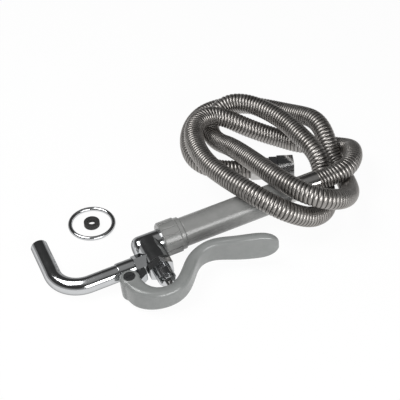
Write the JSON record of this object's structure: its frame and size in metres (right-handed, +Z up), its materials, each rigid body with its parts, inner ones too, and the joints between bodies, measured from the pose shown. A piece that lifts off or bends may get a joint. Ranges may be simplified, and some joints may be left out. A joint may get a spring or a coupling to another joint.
{
  "type": "pot filler faucet",
  "caption": "Hand-held pot filler: a hook spout on a squeeze-lever valve, a round grey grip and a long ribbed metal hose, lying coiled beside its hold-down ring and inlet washer.",
  "frame": {"origin": "centre of the wand's box on the bench it lies on, taken without the hose and what is on it", "axes": "+X along the grip from the spout towards the hose, +Y away from the lever, +Z up from the bench"},
  "size_m": [0.3637, 0.2647, 0.0671],
  "materials": {
    "chrome": "polished chrome plate",
    "steel": "turned steel",
    "hose_steel": "ribbed steel strip, bright on the ribs and dark between them",
    "brass": "machined",
    "grey_lever": "satin grey coating",
    "grey_grip": "satin grey plastic",
    "black_rubber": "matte black"
  },
  "bodies": {
    "wand": {"valve_body": "chrome", "valve_seat": "brass", "return_spring": "steel", "bonnet": "chrome", "bonnet_gasket": "black_rubber", "stem_seal": "black_rubber", "packing_nut": "chrome", "spout_adapter": "chrome", "hook_spout": "chrome", "coupling_nut": "grey_grip", "coupling_washer": "black_rubber", "handle_tube": "brass", "grip": "grey_grip", "hose_ferrule": "steel", "hose": "hose_steel", "inlet_ferrule": "steel", "inlet_spud": "chrome", "hold_down_ring": "chrome", "inlet_washer": "black_rubber"},
    "lever_body": {"lever": "grey_lever", "pivot_screw": "chrome"},
    "stem_body": {"valve_stem": "steel", "seat_washer": "black_rubber", "washer_screw": "steel"},
    "swivel_body": {"swivel_nut": "chrome"}
  },
  "joints": [
    {"name": "lever_squeeze", "type": "hinge", "parent": "wand", "child": "lever_body", "pos_m": [-0.0753, -0.048, 0.01401], "axis": [-0.0785, 0, 0.9969], "range_deg": [0, 6.5], "stiffness_Nm_per_rad": 1.6, "springref_deg": -2.86},
    {"name": "stem_slide", "type": "slide", "parent": "wand", "child": "stem_body", "axis": [0, 1, 0], "range_m": [0, 0.0036], "deforming": ["return_spring"]},
    {"name": "nut_swivel", "type": "hinge", "parent": "wand", "child": "swivel_body", "pos_m": [0.1013, 0.057, 0.0121], "axis": [0.9336, -0.3584, 0], "continuous": true}
  ],
  "couplings": [
    {"joint": "stem_slide", "follows": "lever_squeeze", "m_per_rad": 0.03}
  ]
}
